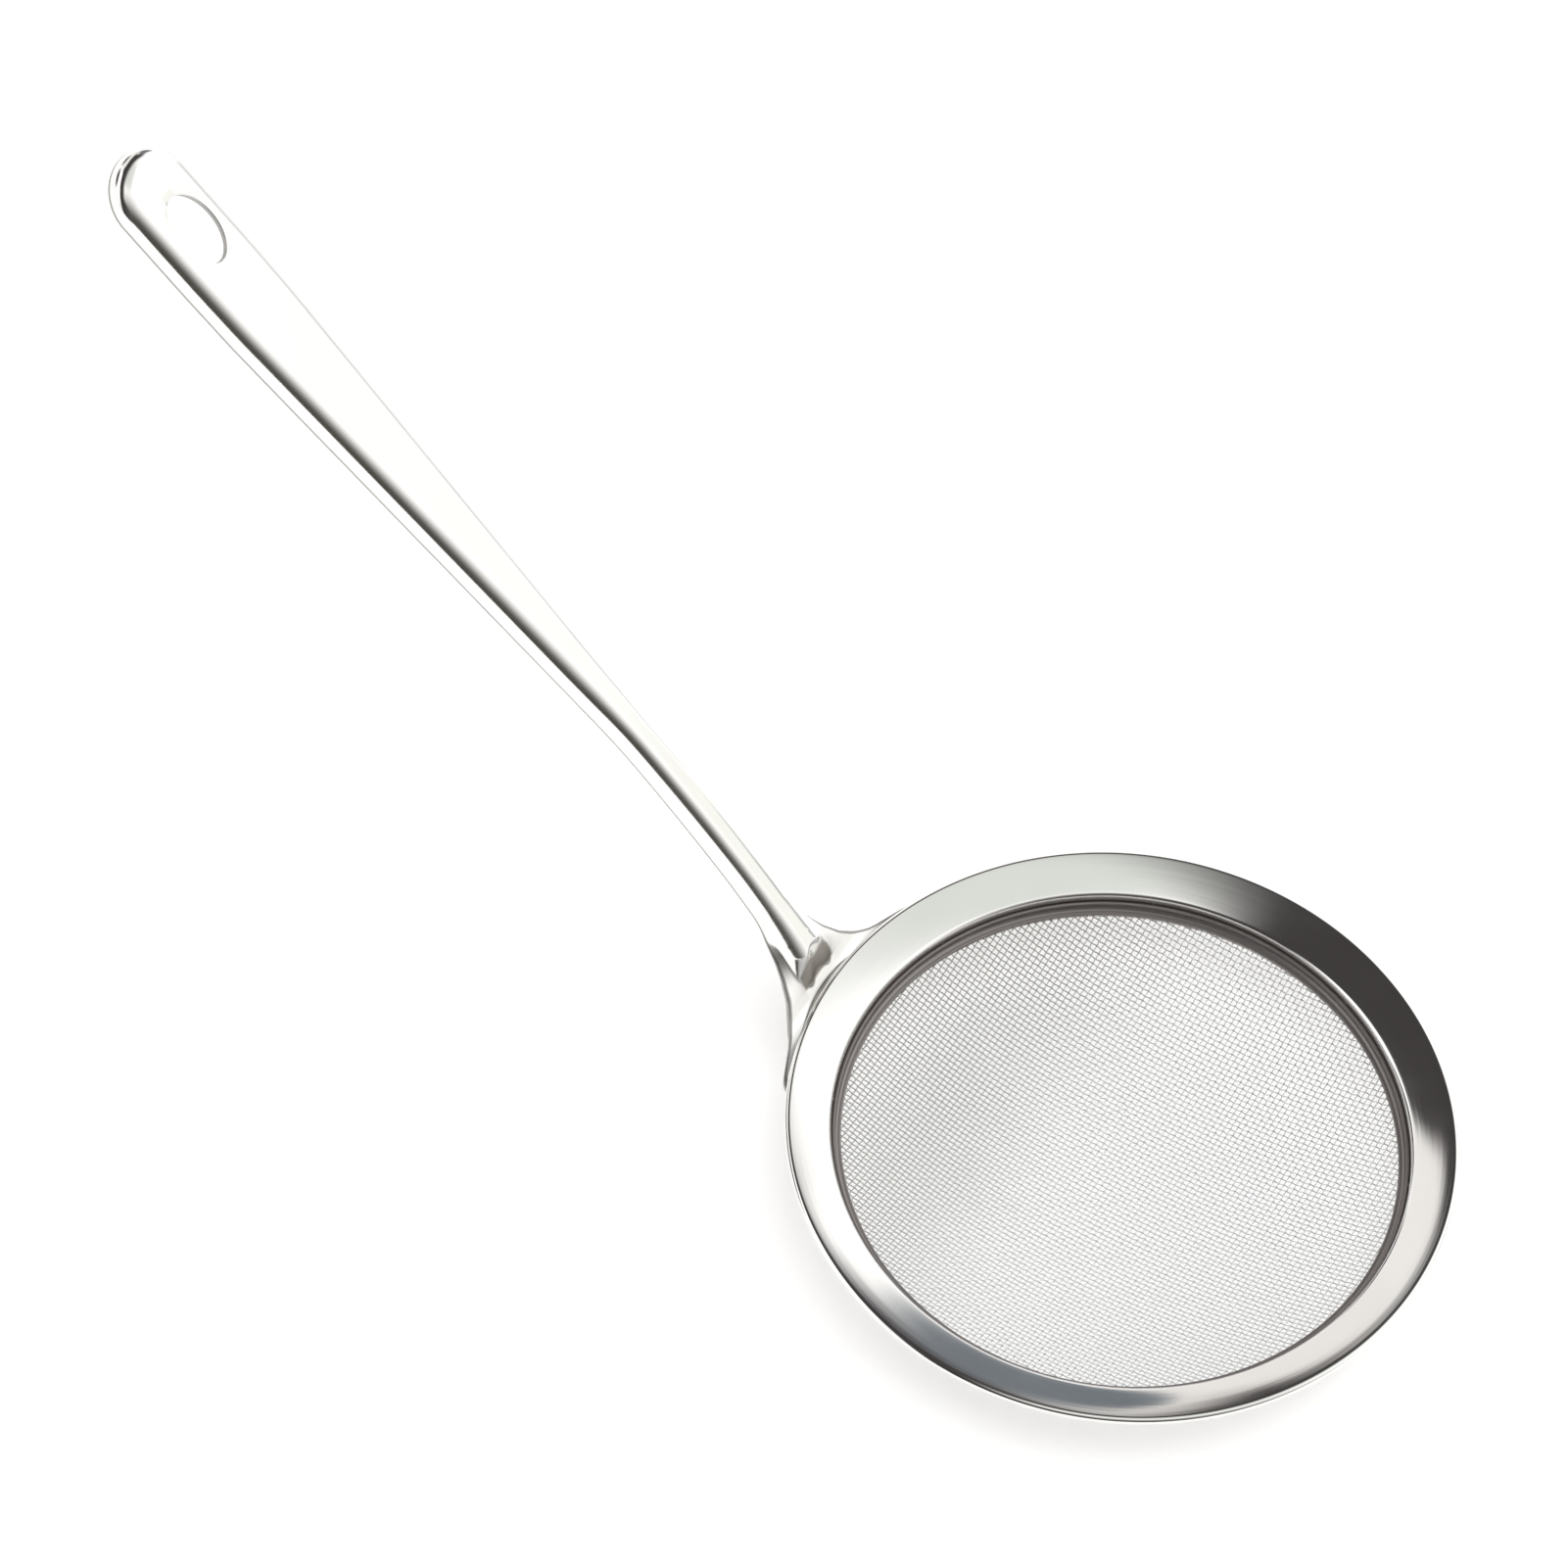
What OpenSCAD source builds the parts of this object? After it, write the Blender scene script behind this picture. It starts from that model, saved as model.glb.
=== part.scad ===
// Long-handled tea strainer: a pressed steel rim with a rolled edge, a shallow
// woven-wire dish held on the rim's ledge by a clamp ring, and a stamped channel
// handle whose flared foot is welded under the rolled edge.
// Origin: on the rim's axis, half-way up the collar. The handle runs towards -X
// and up. +Z points out of the open side.

/* [Rim] */
// Outside diameter over the rolled edge
rim_d = 120; // [90:1:160]
// Inside diameter of the collar
collar_d = 103.2; // [76:0.2:140]
// Slope of the brim, falling towards the middle
brim_slope = 16; // [8:1:20]
// Thickness of the rim's sheet
rim_t = 0.6; // [0.5:0.1:0.8]
// Radius of the rolled edge
bead_r = 0.8; // [0.8:0.05:1]
// Radius of the lip between the brim and the collar
lip_r = 1; // [0.9:0.1:1.5]
// Depth of the ledge below the top of the lip
collar_h = 4.4; // [4.2:0.1:6.4]
// Width of the ledge that the wire cloth lies on
ledge_w = 1.5; // [1.2:0.1:2.5]

/* [Wire cloth] */
// Thickness of the cloth over its crossings
cloth_t = 0.5; // [0.4:0.1:0.8]
// Depth of the dish below its edge
dish_depth = 9; // [4:0.5:14]
// How flat the middle of the dish is, 2 being a plain bowl
dish_power = 2.4; // [2:0.1:4]

/* [Clamp ring] */
// Thickness of the clamp ring's sheet
clamp_t = 0.6; // [0.5:0.1:0.8]
// Height of the clamp ring
clamp_h = 2.3; // [2:0.1:2.6]
// Width of the clamp ring
clamp_w = 1.75; // [1.4:0.05:2]

/* [Handle] */
// Length of the straight grip, from the curved neck to the tip
grip_len = 130; // [90:1:160]
// Angle of the straight grip above the rim
grip_angle = 39.3; // [32:0.1:44]
// Width of the neck, the narrowest place
neck_w = 6.9; // [6:0.1:9]
// Width of the grip near the tip
grip_w = 16.8; // [14:0.1:20]
// Thickness of the handle's sheet
handle_t = 1; // [0.8:0.1:1.2]
// Drop of the rounded shoulders below the flat top
shoulder_h = 2.4; // [2:0.1:3]
// Width of each rounded shoulder, where the handle is wide enough
shoulder_w = 3.6; // [2.4:0.1:4]
// Length of the skirt below the shoulders
skirt_h = 2.1; // [1.5:0.1:3]
// Length of the hanging hole
hole_len = 14.1; // [11:0.1:16]
// Width of the hanging hole
hole_w = 8.9; // [6:0.1:9.4]
// Distance from the tip to the middle of the hanging hole
hole_from_tip = 17.4; // [14:0.1:22]

/* [Hidden] */
$fn = 96;
eps = 0.01;

// The rim's section, worked out from its outside edge inwards. Heights are from
// the middle of the rolled edge, and rim_z lifts them all to the part's frame.
rim_r = rim_d / 2;
bead_x = rim_r - bead_r;
collar_r = collar_d / 2;
lip_x = collar_r + lip_r;
fall = tan(brim_slope);
brim_start = [bead_x - bead_r * sin(brim_slope), bead_r * cos(brim_slope)];
lip_top_x = lip_x - lip_r * sin(brim_slope);
lip_top_z = brim_start[1] - (brim_start[0] - lip_top_x) * fall;
lip_z = lip_top_z - lip_r * cos(brim_slope);
ledge_z = lip_top_z - collar_h;
ledge_under_z = ledge_z - rim_t;
ledge_bend_r = 0.8;
ledge_x = collar_r - ledge_w;
rim_z = -(lip_z + ledge_under_z + ledge_bend_r) / 2;
curl_wall = rim_t - 0.1;
curl_gap_angle = 20;
curl_gap_w = 0.25;

// Levels that the pieces in the collar stack up from, with their clearances
cloth_z = ledge_z;
clamp_z = cloth_z + cloth_t + 0.03;
clamp_bend_r = 1.3;
dish_r = collar_r - 0.3;
dish_start_r = ledge_x - 0.15;
clamp_r = collar_r - 0.2;
DISH_STEPS = 12;

// The handle's line, seen from the side: lengths with the slope at each end. It
// is the level of the foot's upper face, which is also the shoulders' foot.
foot_slope = 5;
ramp_slope = 52;
LINE = [
    [6.5, foot_slope, foot_slope],
    [3, foot_slope, ramp_slope],
    [8, ramp_slope, 51.5],
    [14, 51.5, 47],
    [48, 47, grip_angle],
    [grip_len, grip_angle, grip_angle]
];
foot_reach = 7.5;
foot_gap = 0.15;
foot_gap_r = collar_r + rim_t + 2;
foot_x = rim_r - foot_reach;
foot_z = -bead_r - foot_gap - LINE[0][0] * sin(foot_slope);
function total(list, i = 0) = i == len(list) ? 0 : list[i][0] + total(list, i + 1);
line_len = total(LINE);
tip_r = grip_w / 2;
tip_u = line_len - tip_r;
hole_u = line_len - hole_from_tip;
weld_count = 5;
weld_step = 6;
weld_r = 0.8;
clamp_weld_count = 8;
clamp_weld_r = 0.35;
clamp_weld_z = clamp_z + (clamp_bend_r + clamp_h) / 2;

// Along the line: half width over the shoulders, height of the shoulders above
// the foot, turn of the skirt (90 lies flat) and half width over the foot.
flare_len = 25;
flare_skirt = 1.95;
HALF = [[0, 5.4], [12, 5.3], [17, 4.6], [25, 3.7], [34, neck_w / 2], [70, neck_w / 2],
        [line_len - 38, tip_r - 0.2], [line_len - 26, tip_r], [line_len, tip_r]];
RISE = [[0, 0], [9.9, 0], [16.4, 2.9], [20, 2.75], [27, shoulder_h], [line_len, shoulder_h]];
TURN = [[0, 90], [12, 90], [26, 0], [line_len, 0]];
FLARE = [[0, 22], [2.5, 23.5], [4, 22.2], [5.5, 18.6], [7.2, 14.2], [9.2, 11.3],
         [11.6, 9], [15, 7.2], [18, 6.4], [flare_len, 5.7]];
grip_start = 92;
GRIP_STEPS = 8;
STATIONS = concat(
    [for (u = [0:1.3:6.4]) u],
    [for (u = [6.5:0.5:9.5]) u],
    [for (u = [10:0.8:16.4]) u],
    [for (u = [17:1.4:40.8]) u],
    [for (u = [42:5.2:90]) u],
    [for (i = [0:GRIP_STEPS - 1]) grip_start + (tip_u - grip_start) * i / GRIP_STEPS]
);
TIP_TURNS = 16;
HOLE_SIDES = 60;
ARC_STEPS = 5;
top_flat = 0.6;

// Running average of a table, so that its corners come out rounded
function eased(u, table, reach) =
    (lookup(u - reach, table) + lookup(u - reach / 2, table) + lookup(u, table)
     + lookup(u + reach / 2, table) + lookup(u + reach, table)) / 5;
function half_width(u) = eased(u, HALF, 4);
function rise(u) = eased(u, RISE, 0.5);
function turn(u) = eased(u, TURN, 3);
function skirt(u) = u < flare_len ? eased(u, FLARE, 0.6) - half_width(u)
    : lookup(u, [[flare_len, flare_skirt], [flare_len + 5, skirt_h]]);

// Place and slope on the line at length u, piece by piece
function part_step(len, a, b) =
    abs(b - a) < 0.001 ? [len * cos(a), len * sin(a)]
    : let (r = len / ((b - a) * PI / 180)) [r * (sin(b) - sin(a)), r * (cos(a) - cos(b))];
function on_line(u, i = 0, at = [0, 0]) =
    let (piece = LINE[i], len = min(u, piece[0]),
         slope = piece[1] + (piece[2] - piece[1]) * len / piece[0],
         next = at + part_step(len, piece[1], slope))
    (u <= piece[0] || i == len(LINE) - 1) ? [next[0], next[1], slope]
    : on_line(u - piece[0], i + 1, next);

// A point beside the line: y across, n above the foot's face, h towards the tip
function place(u, y, n, h = 0) =
    let (p = on_line(u), s = p[2])
    [-foot_x - p[0] + n * sin(s) - h * cos(s), y, foot_z + p[1] + n * cos(s) + h * sin(s)];

// Half of the handle's section, from the middle of the top, over the shoulder,
// down the skirt and back under the sheet to the middle
function section(u) =
    let (a = half_width(u), s = rise(u), b = turn(u), l = skirt(u), t = handle_t,
         r = min(shoulder_w, a - top_flat), drop = t * sin(b))
    concat(
        [[0, s]],
        [for (i = [0:ARC_STEPS]) let (f = 90 * i / ARC_STEPS)
            [a - r + r * sin(f), s * cos(f)]],
        [[a + l * sin(b), -l * cos(b)]],
        [[a + l * sin(b) - t * cos(b), -l * cos(b) - t * sin(b)]],
        [for (i = [ARC_STEPS:-1:0]) let (f = 90 * i / ARC_STEPS)
            [a - r + (r - t) * sin(f), -drop + (s - t + drop) * cos(f)]],
        [[0, s - t]]
    );

// The handle is that half section carried up one side, round the tip and back
// down the other, so that the skirt runs round the tip in one piece.
RING = len(section(0));
SIDE = len(STATIONS);
TOTAL = 2 * SIDE + TIP_TURNS + 1;
function mirrored(j) = j < SIDE ? j : (j > SIDE + TIP_TURNS ? TOTAL - 1 - j : SIDE);
function corner(j, k) = (k == 0 || k == RING - 1) ? mirrored(j) * RING + k : j * RING + k;
function station_points(j) =
    j < SIDE ? [for (p = section(STATIONS[j])) place(STATIONS[j], p[0], p[1])]
    : j > SIDE + TIP_TURNS
        ? [for (p = section(STATIONS[TOTAL - 1 - j])) place(STATIONS[TOTAL - 1 - j], -p[0], p[1])]
    : let (f = 180 * (j - SIDE) / TIP_TURNS)
        [for (p = section(tip_u)) place(tip_u, p[0] * cos(f), p[1], p[0] * sin(f))];
function real(face) = face[0] != face[1] && face[1] != face[2] && face[0] != face[2];
function side_faces() = [
    for (j = [0:TOTAL - 2]) for (k = [0:RING - 2])
        let (a = corner(j, k), b = corner(j, k + 1), c = corner(j + 1, k + 1), d = corner(j + 1, k))
        each [for (face = [[a, b, c], [a, c, d]]) if (real(face)) face]
];
function cap_faces() = [
    for (k = [0:RING / 2 - 2]) let (m = RING - 1 - k, e = TOTAL - 1)
        each [
            [corner(0, k), corner(0, m), corner(0, m - 1)],
            [corner(0, k), corner(0, m - 1), corner(0, k + 1)],
            [corner(e, k), corner(e, m - 1), corner(e, m)],
            [corner(e, k), corner(e, k + 1), corner(e, m - 1)]
        ]
];

module handle_shell() {
    polyhedron(
        points = [for (j = [0:TOTAL - 1]) each station_points(j)],
        faces = concat(side_faces(), cap_faces()),
        convexity = 8
    );
}

// Turns and moves its children so that they stand square on the handle at u
module on_handle(u) {
    p = on_line(u);
    translate([-foot_x - p[0], 0, foot_z + p[1]])
        rotate([0, p[2], 0]) children();
}

module hanging_hole() {
    deep = 12;
    step = 360 / HOLE_SIDES;
    linear_extrude(deep, center = true)
        polygon([for (f = [0:step:360 - step]) [hole_len / 2 * cos(f), hole_w / 2 * sin(f)]]);
}

module handle() {
    color("gainsboro") translate([0, 0, rim_z]) difference() {
        handle_shell();
        on_handle(hole_u) hanging_hole();
        translate([0, 0, foot_z - foot_reach]) cylinder(r = foot_gap_r, h = 2 * foot_reach);
    }
}

// The rolled edge, open towards the collar where the curl stops short
module rolled_edge() {
    translate([bead_x, 0]) difference() {
        circle(r = bead_r);
        circle(r = bead_r - curl_wall);
        rotate(180 + curl_gap_angle) square([bead_r * 2, curl_gap_w]);
    }
}

module brim_section() {
    inner = lip_r - rim_t;
    far = 3 * lip_r;
    polygon([
        [brim_start[0] + eps, brim_start[1] + eps * fall],
        [lip_top_x, lip_top_z],
        [lip_top_x + rim_t * sin(brim_slope), lip_top_z - rim_t * cos(brim_slope)],
        [brim_start[0] + rim_t / 2, brim_start[1] - rim_t]
    ]);
    intersection() {
        translate([lip_x, lip_z]) difference() {
            circle(r = lip_r);
            circle(r = inner);
        }
        polygon([
            [lip_x, lip_z],
            [lip_x - far, lip_z],
            [lip_x - far, lip_z + far],
            [lip_x - far * sin(brim_slope), lip_z + far * cos(brim_slope)]
        ]);
    }
}

module collar_section() {
    bend_x = collar_r + rim_t - ledge_bend_r;
    bend_z = ledge_under_z + ledge_bend_r;
    translate([collar_r, bend_z]) square([rim_t, lip_z - bend_z]);
    intersection() {
        translate([bend_x, bend_z]) difference() {
            circle(r = ledge_bend_r);
            circle(r = ledge_bend_r - rim_t);
        }
        translate([bend_x, ledge_under_z]) square([ledge_bend_r, ledge_bend_r]);
    }
    translate([ledge_x, ledge_under_z]) square([bend_x - ledge_x, rim_t]);
}

module rim() {
    color("whitesmoke") translate([0, 0, rim_z]) rotate_extrude() union() {
        rolled_edge();
        brim_section();
        collar_section();
    }
}

// Height of the dish's upper face below the cloth's edge at radius r
function dish_z(r) = -dish_depth * (1 - pow(r / dish_start_r, dish_power));

module mesh_screen() {
    top = [for (i = [0:DISH_STEPS]) let (r = dish_start_r * i / DISH_STEPS)
        [r, cloth_z + cloth_t + dish_z(r)]];
    under = [for (i = [DISH_STEPS:-1:0]) let (r = dish_start_r * i / DISH_STEPS)
        [r, cloth_z + dish_z(r)]];
    edge = [[dish_r, cloth_z + cloth_t], [dish_r, cloth_z]];
    color("silver") translate([0, 0, rim_z]) rotate_extrude() polygon(concat(top, edge, under));
}

// An angle of sheet whose foot presses on the cloth and whose leg fits the collar
module clamp_ring() {
    bend = clamp_bend_r;
    color("lightgray") translate([0, 0, rim_z + clamp_z]) rotate_extrude() translate([clamp_r, 0]) {
        translate([-clamp_t, bend]) square([clamp_t, clamp_h - bend]);
        translate([-clamp_w, 0]) square([clamp_w - bend, clamp_t]);
        intersection() {
            translate([-bend, bend]) difference() {
                circle(r = bend);
                circle(r = bend - clamp_t);
            }
            translate([-bend, 0]) square([bend, bend]);
        }
    }
}

// Projection welds between the foot's upper face and the rolled edge
module handle_welds() {
    color("darkgray") translate([0, 0, rim_z]) for (i = [0:weld_count - 1]) {
        f = (i - (weld_count - 1) / 2) * weld_step;
        x = bead_x * cos(f);
        level = foot_z + (x - foot_x + weld_r) * tan(foot_slope);
        translate([-x, bead_x * sin(f), level]) cylinder(r = weld_r, h = -bead_r - level);
    }
}

// Spot welds between the clamp ring's leg and the collar
module clamp_welds() {
    color("darkgray") translate([0, 0, rim_z]) for (i = [0:clamp_weld_count - 1])
        rotate(360 / clamp_weld_count * (i + 0.5)) translate([clamp_r, 0, clamp_weld_z])
            rotate([0, 90, 0]) cylinder(r = clamp_weld_r, h = collar_r - clamp_r);
}

rim();
mesh_screen();
clamp_ring();
handle();
handle_welds();
clamp_welds();
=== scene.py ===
import math

import bmesh
import bpy
import numpy as np
from mathutils import Matrix, Vector
from mathutils.kdtree import KDTree


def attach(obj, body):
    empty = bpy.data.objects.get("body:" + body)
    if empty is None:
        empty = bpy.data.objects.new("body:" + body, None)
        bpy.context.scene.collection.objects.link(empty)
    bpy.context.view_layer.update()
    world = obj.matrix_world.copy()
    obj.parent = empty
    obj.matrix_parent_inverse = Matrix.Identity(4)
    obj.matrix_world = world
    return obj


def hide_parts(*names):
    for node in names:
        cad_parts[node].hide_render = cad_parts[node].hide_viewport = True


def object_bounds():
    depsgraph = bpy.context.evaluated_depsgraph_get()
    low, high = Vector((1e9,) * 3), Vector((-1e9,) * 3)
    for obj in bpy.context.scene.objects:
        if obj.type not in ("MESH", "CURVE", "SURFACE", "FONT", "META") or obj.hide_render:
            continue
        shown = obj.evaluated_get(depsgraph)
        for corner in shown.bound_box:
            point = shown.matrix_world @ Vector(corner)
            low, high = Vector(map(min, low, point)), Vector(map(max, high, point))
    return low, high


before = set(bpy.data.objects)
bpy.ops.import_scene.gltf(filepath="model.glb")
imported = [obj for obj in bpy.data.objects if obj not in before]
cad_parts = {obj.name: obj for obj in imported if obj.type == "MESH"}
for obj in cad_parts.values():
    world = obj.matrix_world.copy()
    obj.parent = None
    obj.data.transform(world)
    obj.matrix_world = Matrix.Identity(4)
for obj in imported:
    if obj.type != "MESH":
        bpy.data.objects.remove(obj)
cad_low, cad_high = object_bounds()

# ---------------------------------------------------------------- sizes, in millimetres
MM = 0.001
RIM_R = 60.0
COLLAR_R = 51.6
BRIM_SLOPE = 16.0
RIM_T = 0.6
BEAD_R = 0.8
CURL_T = 0.5
BRIM_BULGE = 0.13
BULGE_TURN = 4.0
LIP_R = 1.0
LEDGE_DEPTH = 4.4
LEDGE_BEND = 0.8
LEDGE_W = 1.5
CLOTH_T = 0.5
DISH_DEPTH = 9.0
DISH_POWER = 2.4
CLAMP_T = 0.6
CLAMP_H = 2.3
CLAMP_W = 1.75
CLAMP_BEND = 1.3
HANDLE_T = 1.0
GRIP_LEN = 130.0
GRIP_ANGLE = 39.3
GRIP_W = 16.8
NECK_W = 6.9
SHOULDER_H = 2.4
SHOULDER_W = 3.6
SKIRT_H = 2.1
HOLE_LEN = 14.1
HOLE_W = 8.9
HOLE_FROM_TIP = 17.4
WIRE_PITCH = 1.0
WIRE_R = 0.125

# levels from the middle of the rolled edge, then the lift to the part's frame
SLOPE = math.radians(BRIM_SLOPE)
BEAD_X = RIM_R - BEAD_R
BRIM_START = (BEAD_X - BEAD_R * math.sin(SLOPE), BEAD_R * math.cos(SLOPE))
LIP_X = COLLAR_R + LIP_R
LIP_TOP = (LIP_X - LIP_R * math.sin(SLOPE),
           BRIM_START[1] - (BRIM_START[0] - LIP_X + LIP_R * math.sin(SLOPE)) * math.tan(SLOPE))
LIP_Z = LIP_TOP[1] - LIP_R * math.cos(SLOPE)
LEDGE_Z = LIP_TOP[1] - LEDGE_DEPTH
LEDGE_X = COLLAR_R - LEDGE_W
RIM_Z = -(LIP_Z + LEDGE_Z - RIM_T + LEDGE_BEND) / 2
CLAMP_Z = LEDGE_Z + CLOTH_T + 0.03
DISH_START = LEDGE_X - 0.15
CLAMP_R = COLLAR_R - 0.2


# ---------------------------------------------------------------- mesh helpers
def in_metres(points):
    """Points in metres in the part's frame, from millimetres over the rolled edge's level."""
    scaled = np.asarray(points, float) * MM
    scaled[:, 2] += RIM_Z * MM
    return scaled


def add_mesh(name, verts, faces, material, sharp=35.0):
    """A mesh piece from points in millimetres over the rolled edge's level."""
    mesh = bpy.data.meshes.new(name)
    mesh.from_pydata(in_metres(verts).tolist(), [], faces)
    bm = bmesh.new()
    bm.from_mesh(mesh)
    bmesh.ops.remove_doubles(bm, verts=bm.verts, dist=1e-7)
    bmesh.ops.recalc_face_normals(bm, faces=bm.faces)
    bm.to_mesh(mesh)
    bm.free()
    mesh.materials.append(material)
    piece = bpy.data.objects.new(name, mesh)
    bpy.context.scene.collection.objects.link(piece)
    shade(mesh, sharp)
    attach(piece, "root")
    return piece


def shade(mesh, sharp):
    """Smooth shading with edges over the angle kept sharp."""
    bm = bmesh.new()
    bm.from_mesh(mesh)
    limit = math.radians(sharp)
    for face in bm.faces:
        face.smooth = True
    for edge in bm.edges:
        edge.smooth = edge.is_manifold and edge.calc_face_angle(0.0) < limit
    bm.to_mesh(mesh)
    bm.free()


def arc(cx, cz, radius, start, end, steps):
    """Points on an arc with their directions from its centre."""
    out = []
    for i in range(steps + 1):
        angle = math.radians(start + (end - start) * i / steps)
        away = (math.cos(angle), math.sin(angle))
        out.append(((cx + radius * away[0], cz + radius * away[1]), away))
    return out


def skin(path):
    """Closed outline of bent sheet from its upper face: ((x, z), normal, thickness) with round ends."""
    upper = [point for point, normal, thick in path]
    lower = [(point[0] - normal[0] * thick, point[1] - normal[1] * thick)
             for point, normal, thick in path]
    return upper + round_end(upper[-1], lower[-1], upper[-2]) + lower[::-1] + round_end(
        lower[0], upper[0], lower[1])


def round_end(a, b, before, steps=5):
    """Points of a flattened half circle from a to b, bulging away from the point before a."""
    mid = ((a[0] + b[0]) / 2, (a[1] + b[1]) / 2)
    half = math.hypot(a[0] - b[0], a[1] - b[1]) / 2
    out = (-(b[1] - a[1]) / (2 * half), (b[0] - a[0]) / (2 * half))
    if out[0] * (a[0] - before[0]) + out[1] * (a[1] - before[1]) < 0:
        out = (-out[0], -out[1])
    across = ((a[0] - mid[0]) / half, (a[1] - mid[1]) / half)
    points = []
    for i in range(1, steps):
        angle = math.pi * i / steps
        side, bulge = math.cos(angle) * half, math.sin(angle) * half * 0.6
        points.append((mid[0] + across[0] * side + out[0] * bulge,
                       mid[1] + across[1] * side + out[1] * bulge))
    return points


def lathe(name, outline, steps, material):
    """A closed outline of (radius, height) turned round the rim's axis."""
    count = len(outline)
    verts = []
    for j in range(steps):
        angle = 2 * math.pi * j / steps
        x, y = math.cos(angle), math.sin(angle)
        verts += [(r * x, r * y, z) for r, z in outline]
    faces = []
    for j in range(steps):
        k = (j + 1) % steps
        for i in range(count):
            m = (i + 1) % count
            faces.append((j * count + i, k * count + i, k * count + m, j * count + m))
    return add_mesh(name, verts, faces, material)


# ---------------------------------------------------------------- rim and clamp ring
def rim_path():
    """The rim's upper face, from inside the rolled edge to the end of the ledge."""
    path = [(p, n, CURL_T) for p, n in arc(BEAD_X, 0, BEAD_R, -155, 90 + BRIM_SLOPE - BULGE_TURN, 44)]
    for i in range(1, 19):
        f = i / 19
        x = BRIM_START[0] + (LIP_TOP[0] - BRIM_START[0]) * f
        z = BRIM_START[1] + (LIP_TOP[1] - BRIM_START[1]) * f + BRIM_BULGE * 4 * f * (1 - f)
        tilt = SLOPE + math.radians(BULGE_TURN) * (2 * f - 1)
        path.append(((x, z), (-math.sin(tilt), math.cos(tilt)), min(RIM_T, CURL_T + 0.5 * f)))
    path += [(p, n, RIM_T) for p, n in arc(LIP_X, LIP_Z, LIP_R, 90 + BRIM_SLOPE + BULGE_TURN, 180, 16)]
    bend_x = COLLAR_R + RIM_T - LEDGE_BEND
    bend_z = LEDGE_Z - RIM_T + LEDGE_BEND
    inner = LEDGE_BEND - RIM_T
    path += [((COLLAR_R, LIP_Z + (bend_z - LIP_Z) * f), (-1, 0), RIM_T) for f in (0.1, 0.5, 0.9)]
    path += [(p, (-n[0], -n[1]), RIM_T) for p, n in arc(bend_x, bend_z, inner, 0, -90, 6)]
    path.append(((LEDGE_X + 0.3, LEDGE_Z), (0, 1), RIM_T))
    path.append(((LEDGE_X + 0.15, LEDGE_Z), (0, 1), RIM_T))
    return path


def make_rim(material):
    """The rim: rolled edge, brim, lip, collar and ledge in one pressing."""
    rim = lathe("rim_pressing", skin(rim_path()), 400, material)
    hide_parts("rim")


def make_clamp_ring(material):
    """The ring inside the collar that holds the cloth's edge down on the ledge."""
    x, z = CLAMP_R, CLAMP_Z
    path = [((x - CLAMP_T, z + CLAMP_H - 0.3), (-1, 0), CLAMP_T)]
    path.append(((x - CLAMP_T, z + CLAMP_BEND + 0.2), (-1, 0), CLAMP_T))
    bend = arc(x - CLAMP_BEND, z + CLAMP_BEND, CLAMP_BEND - CLAMP_T, 0, -90, 8)
    path += [(p, (-n[0], -n[1]), CLAMP_T) for p, n in bend]
    path.append(((x - CLAMP_W + 0.15, z + CLAMP_T), (0, 1), CLAMP_T))
    ring = lathe("clamp_ring_band", skin(path), 400, material)
    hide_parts("clamp_ring")


# ---------------------------------------------------------------- handle
# the handle's line, seen from the side: lengths with the slope at each end
LINE = [(6.5, 5, 5), (3, 5, 52), (8, 52, 51.5), (14, 51.5, 47), (48, 47, GRIP_ANGLE),
        (GRIP_LEN, GRIP_ANGLE, GRIP_ANGLE)]
LINE_LEN = sum(piece[0] for piece in LINE)
FOOT_REACH = 7.5
FOOT_GAP = 0.15
FOOT_X = RIM_R - FOOT_REACH
FOOT_Z = -BEAD_R - FOOT_GAP - LINE[0][0] * math.sin(math.radians(LINE[0][1]))
FOOT_GAP_R = COLLAR_R + RIM_T + 2
TIP_R = GRIP_W / 2
TIP_U = LINE_LEN - TIP_R
HOLE_U = LINE_LEN - HOLE_FROM_TIP
# along the line: half width over the shoulders, height of the shoulders over the foot, turn of the
# skirt (90 lies flat), half width over the foot, and depth of the skirt past the foot
NOSE_U, NOSE_H = 16.4, 2.9
HALF = [(0, 5.4), (12, 5.3), (17, 4.6), (25, 3.7), (34, NECK_W / 2), (70, NECK_W / 2),
        (LINE_LEN - 38, TIP_R - 0.2), (LINE_LEN - 26, TIP_R), (LINE_LEN, TIP_R)]
RISE = [(0, 0), (9.9, 0), (NOSE_U, NOSE_H), (20, 2.75), (27, SHOULDER_H), (LINE_LEN, SHOULDER_H)]
TURN = [(0, 90), (12, 90), (26, 0), (LINE_LEN, 0)]
FLARE = [(0, 22), (2.5, 23.5), (4, 22.2), (5.5, 18.6), (7.2, 14.2), (9.2, 11.3),
         (11.6, 9), (15, 7.2), (18, 6.4), (25, 5.7)]
SKIRT = [(25, 1.95), (30, SKIRT_H)]
NOSE_END = 20
RISE_REACH = 0.6
FINE = 0.1
BEND_SOFTNESS = 0.28
TOP_POINTS = 44
# where the sections stand along the line, as start, end and step, then over the grip to the tip
STATIONS = [(0, 20, 0.25), (20, 45, 0.5), (45, 92, 1.5)]
GRIP_STATIONS = 50
TIP_TURNS = 72
# the points of a section that lie on the sheared edge and the dull margin beside it
EDGE_FROM, EDGE_TO = TOP_POINTS - 3, TOP_POINTS + 8


def table_value(u, table, reach):
    """A table's value at u, averaged smoothly over the reach on both sides."""
    near = np.linspace(-reach, reach, 17)
    weight = 0.35 + np.cos(near / reach * math.pi / 2) * 0.65
    values = np.interp(u + near, [p[0] for p in table], [p[1] for p in table])
    return float((values * weight).sum() / weight.sum())


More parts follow.
